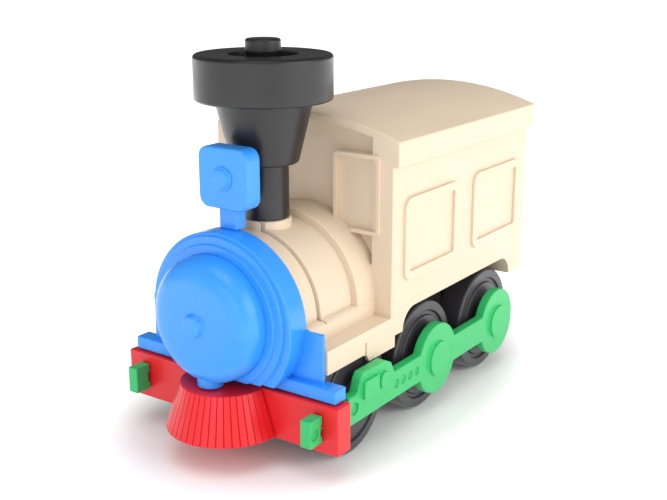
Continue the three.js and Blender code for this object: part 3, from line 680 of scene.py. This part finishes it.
# ---- chimney ----
def chimney():
    foot = CHIMNEY_BASE_TOP + 0.1
    return turned([(0, 56), (4.0, 56), (4.0, foot), (6.3, foot, 0.2), (6.3, 76.8, 0.3), (9.0, 76.8, 0.9),
                   (13.0, 93.3, 0.3), (18.2, 93.3, 0.8), (18.2, 105.2, 1.0), (9.2, 105.2, 0.4),
                   (9.2, 102.2, 0.3), (2.7, 102.2), (2.7, 97.5), (0, 97.5)], "z", (0, CHIMNEY_Y, 0), 192)


def chimney_plug():
    return turned([(0, 98.2), (2.5, 98.2), (2.5, 102.5), (3.6, 102.5, 0.3), (4.65, 105.8, 1.5),
                   (4.65, 109.0, 0.7), (0, 109.0)], "z", (0, CHIMNEY_Y, 0), 96)


# ---- materials ----
def node(tree, kind, **values):
    made = tree.nodes.new(kind)
    for key, value in values.items():
        if key in made.inputs.keys():
            made.inputs[key].default_value = value
        else:
            setattr(made, key, value)
    return made


def ramp(tree, source, given, wanted, curve="LINEAR"):
    """Turns the given range of a value into the wanted one."""
    made = node(tree, "ShaderNodeMapRange", interpolation_type=curve)
    made.inputs["From Min"].default_value, made.inputs["From Max"].default_value = given
    made.inputs["To Min"].default_value, made.inputs["To Max"].default_value = wanted
    tree.links.new(source, made.inputs["Value"])
    return made.outputs["Result"]


def noise(tree, where, scale, detail, roughness=0.5):
    made = node(tree, "ShaderNodeTexNoise", Scale=scale, Detail=detail, Roughness=roughness)
    tree.links.new(where, made.inputs["Vector"])
    return made.outputs["Fac"]


def stretched(tree, where, scale):
    made = node(tree, "ShaderNodeMapping")
    made.inputs["Scale"].default_value = scale
    tree.links.new(where, made.inputs["Vector"])
    return made.outputs["Vector"]


def empty_material(name):
    material = bpy.data.materials.new(name)
    material.use_nodes = True
    return material, material.node_tree, material.node_tree.nodes["Principled BSDF"]


def pigment(tree, where, colour, mottle):
    """The colour with faint clouds and specks in its brightness."""
    link = tree.links.new
    blend = node(tree, "ShaderNodeMix", data_type="FLOAT", Factor=0.35)
    link(noise(tree, where, 55.0, 3.0), blend.inputs[2])
    link(noise(tree, where, 2600.0, 1.0), blend.inputs[3])
    tint = node(tree, "ShaderNodeHueSaturation", Color=(*colour, 1.0))
    link(ramp(tree, blend.outputs[0], (0.3, 0.7), (1 - mottle, 1 + mottle)), tint.inputs["Value"])
    return tint.outputs["Color"]


def worn_and_highlit_edges(tree, tint, colour):
    """The tint, a little paler along the edges: partly wear where a hand rubs them, partly a painted
    highlight on the edges.
    """
    link = tree.links.new
    bevel = node(tree, "ShaderNodeBevel", samples=4, Radius=0.0007)
    plain = node(tree, "ShaderNodeNewGeometry")
    facing = node(tree, "ShaderNodeVectorMath", operation="DOT_PRODUCT")
    link(bevel.outputs["Normal"], facing.inputs[0])
    link(plain.outputs["Normal"], facing.inputs[1])
    wear_and_highlight = node(tree, "ShaderNodeMix", data_type="RGBA")
    wear_and_highlight.inputs[7].default_value = (*[min(1.0, c * 1.05 + 0.04) for c in colour], 1.0)
    # paler towards the edges: wear and a painted highlight along the edges
    link(ramp(tree, facing.outputs["Value"], (0.995, 0.90), (0.0, 0.04)), wear_and_highlight.inputs[0])
    link(tint, wear_and_highlight.inputs[6])
    return wear_and_highlight.outputs[2]


def moulded_surface(tree, where, grain):
    """Slow waves from the mould with a fine spark-eroded grain on them."""
    link = tree.links.new
    slow = node(tree, "ShaderNodeBump", Strength=0.14, Distance=0.00006)
    link(noise(tree, where, 130.0, 1.0), slow.inputs["Height"])
    fine = node(tree, "ShaderNodeBump", Strength=0.22 * grain, Distance=0.00003)
    link(noise(tree, where, 1900.0, 2.0, 0.6), fine.inputs["Height"])
    link(slow.outputs["Normal"], fine.inputs["Normal"])
    return fine.outputs["Normal"]


def plastic(name, colour, roughness, mottle, grain=1.0, bleed=0.0):
    """Moulded plastic with uneven pigment, streaks of sheen, a grain and paler edges that are partly wear and
    partly a painted edge highlight.
    """
    material, tree, shader = empty_material(name)
    link = tree.links.new
    where = node(tree, "ShaderNodeTexCoord").outputs["Object"]
    tint = pigment(tree, where, colour, mottle)
    link(worn_and_highlit_edges(tree, tint, colour), shader.inputs["Base Color"])
    streak = noise(tree, stretched(tree, where, (1.0, 0.25, 1.0)), 160.0, 4.0, 0.6)
    sheen = ramp(tree, streak, (0.3, 0.7), (roughness - 0.05, roughness + 0.06))
    link(sheen, shader.inputs["Roughness"])
    link(moulded_surface(tree, where, grain), shader.inputs["Normal"])
    shader.inputs["IOR"].default_value = 1.46
    shader.inputs["Subsurface Weight"].default_value = bleed
    shader.inputs["Subsurface Radius"].default_value = (1.0, 0.6, 0.4)
    shader.inputs["Subsurface Scale"].default_value = 0.0012
    return material


def steel(name, colour, roughness):
    """Drawn rod: fine scratches along the length and a little dulling."""
    material, tree, shader = empty_material(name)
    link = tree.links.new
    shader.inputs["Metallic"].default_value = 1.0
    where = node(tree, "ShaderNodeTexCoord").outputs["Object"]
    scratch = noise(tree, stretched(tree, where, (0.05, 1.0, 1.0)), 3500.0, 3.0)
    link(ramp(tree, scratch, (0.0, 1.0), (roughness - 0.08, roughness + 0.12)), shader.inputs["Roughness"])
    tone = node(tree, "ShaderNodeHueSaturation", Color=(*colour, 1.0))
    link(ramp(tree, scratch, (0.0, 1.0), (0.88, 1.08)), tone.inputs["Value"])
    link(tone.outputs["Color"], shader.inputs["Base Color"])
    bump = node(tree, "ShaderNodeBump", Strength=0.3, Distance=0.00002)
    link(scratch, bump.inputs["Height"])
    link(bump.outputs["Normal"], shader.inputs["Normal"])
    return material


CREAM = plastic("cream_plastic", (0.70, 0.570, 0.425), 0.42, 0.02, 0.8, 0.12)
BLUE = plastic("blue_plastic", (0.030, 0.280, 0.86), 0.27, 0.04)
RED = plastic("red_plastic", (0.71, 0.011, 0.018), 0.34, 0.04)
GREEN = plastic("green_plastic", (0.024, 0.46, 0.130), 0.36, 0.04)
GREY = plastic("wheel_plastic", (0.042, 0.038, 0.044), 0.36, 0.08)
DARK = plastic("dark_plastic", (0.012, 0.011, 0.012), 0.34, 0.10)
ROD = steel("axle_steel", (0.62, 0.63, 0.65), 0.28)
ZINC = steel("screw_steel", (0.55, 0.56, 0.58), 0.36)

# ---- assembly ----
finished(body_shell(), "cream_body", ENGINE, ["body_shell"], CREAM)
finished(cab_roof(), "roof", ENGINE, ["cab_roof"], CREAM)
finished(smokebox_front(), "blue_front", ENGINE, ["smokebox_front"], BLUE)
finished(smokebox_door(), "domed_door", ENGINE, ["smokebox_door"], BLUE)
finished(support_peg(), "peg", ENGINE, ["support_peg"], BLUE)
finished(headlamp(), "lamp", ENGINE, ["headlamp"], BLUE)
finished(buffer_beam(), "beam", ENGINE, ["buffer_beam"], RED)
finished(cowcatcher(), "ribbed_cowcatcher", ENGINE, ["cowcatcher"], RED)
finished(chimney(), "funnel", ENGINE, ["chimney"], DARK)
finished(chimney_plug(), "funnel_plug", ENGINE, ["chimney_plug"], DARK)
finished(chassis(), "under_chassis", ENGINE, ["chassis"], DARK)

left_frame = side_frame()
left_buffer = buffer()
for side, frame_piece, buffer_piece in (("right", mirrored(left_frame), mirrored(left_buffer)),
                                        ("left", left_frame, left_buffer)):
    finished(frame_piece, f"running_frame_{side}", ENGINE, [f"side_frame_{side}"], GREEN)
    finished(buffer_piece, f"buffer_block_{side}", ENGINE, [f"buffer_{side}"], GREEN)
    beam_x = BEAM_SCREW[0] if side == "left" else -BEAM_SCREW[0]
    beam_screw = screw("y", (beam_x, 0, BEAM_SCREW[1]), BEAM_FACE + SCREW_SINK - GAP, 8.2)
    finished(beam_screw, f"beam_fixing_{side}", ENGINE, [f"beam_screw_{side}"], ZINC)
for spot_name, (screw_x, screw_y) in CHASSIS_SCREWS.items():
    chassis_screw = screw("z", (screw_x, screw_y, 0), CHASSIS[2] - 0.1, 9.9)
    finished(chassis_screw, f"chassis_fixing_{spot_name}", ENGINE, [f"chassis_screw_{spot_name}"],
             ZINC)
for axle_name, axle_y in AXLE_Y.items():
    wheelset = f"{axle_name}_wheelset"
    finished(axle(axle_y), f"rod_{axle_name}", wheelset, [f"axle_{axle_name}"], ROD)
    left_wheel = wheel(axle_y)
    for side, wheel_piece in (("left", left_wheel), ("right", mirrored(left_wheel))):
        finished(wheel_piece, f"disc_wheel_{axle_name}_{side}", wheelset, [f"wheel_{axle_name}_{side}"],
                 GREY)


# ---- stage, light and camera ----
FLOOR_REACH = 6.0                               # metres
PAINTED_SHADE_OVAL = (0.062, 0.1)                     # half axes of the oval of painted shade (less glow) under the engine, metres
CAMERA_PLACE = (0.17241, -0.24759, 0.13299)     # metres
CAMERA_BACK = (0.5499, -0.7865, 0.2812)         # from what it looks at to the camera
CAMERA_LENS = 57.04
SENSOR_WIDTH = 36.0
KEY_SIDE = (0.62, -0.72, 0.30)                  # the sky is brightest in this direction


def oval_distance(tree):
    """Distance from the middle of the floor, counted in half axes of the oval of painted shade."""
    where = node(tree, "ShaderNodeTexCoord").outputs["Object"]
    half_x, half_y = PAINTED_SHADE_OVAL
    distance = node(tree, "ShaderNodeVectorMath", operation="LENGTH")
    tree.links.new(stretched(tree, where, (1 / half_x, 1 / half_y, 1)), distance.inputs[0])
    return distance.outputs["Value"]


def floor():
    """White sweep whose glow is painted light: it glows less near the engine, a painted shade, and glows more
    to glossy rays, a painted reflection in the engine; whiter away from the engine, in view and in the
    engine's own reflections.
    """
    corners = ((-1, -1), (1, -1), (1, 1), (-1, 1))
    bm = bmesh.new()
    bm.faces.new([bm.verts.new((FLOOR_REACH * a, FLOOR_REACH * b, 0)) for a, b in corners])
    obj = kept(bm)
    obj.name = "studio_floor"
    obj.location.z = -0.0001
    material, tree, shader = empty_material("white_sweep")
    shader.inputs["Base Color"].default_value = (0.93, 0.93, 0.93, 1)
    shader.inputs["Roughness"].default_value = 0.9
    shader.inputs["Specular IOR Level"].default_value = 0.1
    shader.inputs["Emission Color"].default_value = (1, 1, 1, 1)
    distance = oval_distance(tree)
    strength = node(tree, "ShaderNodeMix", data_type="FLOAT")
    ray = node(tree, "ShaderNodeLightPath")
    tree.links.new(ray.outputs["Is Glossy Ray"], strength.inputs[0])
    # painted shade: the glow seen in view falls away under the engine
    tree.links.new(ramp(tree, distance, (0.65, 1.05), (0.03, 0.66), "SMOOTHSTEP"), strength.inputs[2])
    # painted reflection: a stronger glow that only glossy rays see
    tree.links.new(ramp(tree, distance, (0.8, 2.4), (0.35, 1.4), "SMOOTHSTEP"), strength.inputs[3])
    tree.links.new(strength.outputs[0], shader.inputs["Emission Strength"])
    obj.data.materials.append(material)


def world():
    """White to the camera; the light it gives is softer and dims behind the engine, and its mirror
    image is brightest low down, like the walls of a light tent."""
    made = bpy.data.worlds.new("studio")
    bpy.context.scene.world = made
    made.use_nodes = True
    tree = made.node_tree
    link = tree.links.new
    background = tree.nodes["Background"]
    background.inputs["Color"].default_value = (1, 1, 1, 1)
    where = node(tree, "ShaderNodeTexCoord").outputs["Generated"]
    facing = node(tree, "ShaderNodeVectorMath", operation="DOT_PRODUCT")
    link(where, facing.inputs[0])
    facing.inputs[1].default_value = Vector(KEY_SIDE).normalized()
    dome = ramp(tree, facing.outputs["Value"], (-0.9, 0.5), (0.12, 0.85), "SMOOTHSTEP")
    height = node(tree, "ShaderNodeSeparateXYZ")
    link(where, height.inputs["Vector"])
    wall = ramp(tree, height.outputs["Z"], (0.75, 0.25), (0.30, 1.3), "SMOOTHSTEP")
    reflected = node(tree, "ShaderNodeMath", operation="MULTIPLY")
    link(dome, reflected.inputs[0])
    link(wall, reflected.inputs[1])
    ray = node(tree, "ShaderNodeLightPath")
    lit = node(tree, "ShaderNodeMix", data_type="FLOAT")
    link(ray.outputs["Is Glossy Ray"], lit.inputs[0])
    link(dome, lit.inputs[2])
    link(reflected.outputs["Value"], lit.inputs[3])
    seen = node(tree, "ShaderNodeMix", data_type="FLOAT")
    seen.inputs[3].default_value = 1.1
    link(ray.outputs["Is Camera Ray"], seen.inputs[0])
    link(lit.outputs[0], seen.inputs[2])
    link(seen.outputs[0], background.inputs["Strength"])


def softbox(name, position, aim, width, height, power):
    data = bpy.data.lights.new(name, "AREA")
    data.shape = "RECTANGLE"
    data.size = width
    data.size_y = height
    data.energy = power
    obj = bpy.data.objects.new(name, data)
    bpy.context.scene.collection.objects.link(obj)
    obj.location = position
    obj.rotation_mode = "QUATERNION"
    obj.rotation_quaternion = (Vector(aim) - Vector(position)).to_track_quat("-Z", "Y")


def camera():
    data = bpy.data.cameras.new("camera")
    data.sensor_fit = "HORIZONTAL"
    data.sensor_width = SENSOR_WIDTH
    data.lens = CAMERA_LENS
    data.clip_start = 0.01
    obj = bpy.data.objects.new("camera", data)
    bpy.context.scene.collection.objects.link(obj)
    obj.location = CAMERA_PLACE
    obj.rotation_mode = "QUATERNION"
    obj.rotation_quaternion = (-Vector(CAMERA_BACK)).to_track_quat("-Z", "Y")
    bpy.context.scene.camera = obj


floor()
world()
softbox("side_softbox", (0.75, 0.10, 0.35), (0, 0.02, 0.05), 0.7, 0.5, 2.6)
softbox("front_softbox", (0.22, -0.90, 0.32), (0, 0, 0.05), 0.6, 0.4, 0.95)
softbox("top_softbox", (0.1, -0.28, 0.9), (0, 0, 0.05), 0.6, 0.6, 1.95)
camera()
bpy.context.scene.view_settings.view_transform = "Standard"

bpy.context.view_layer.update()
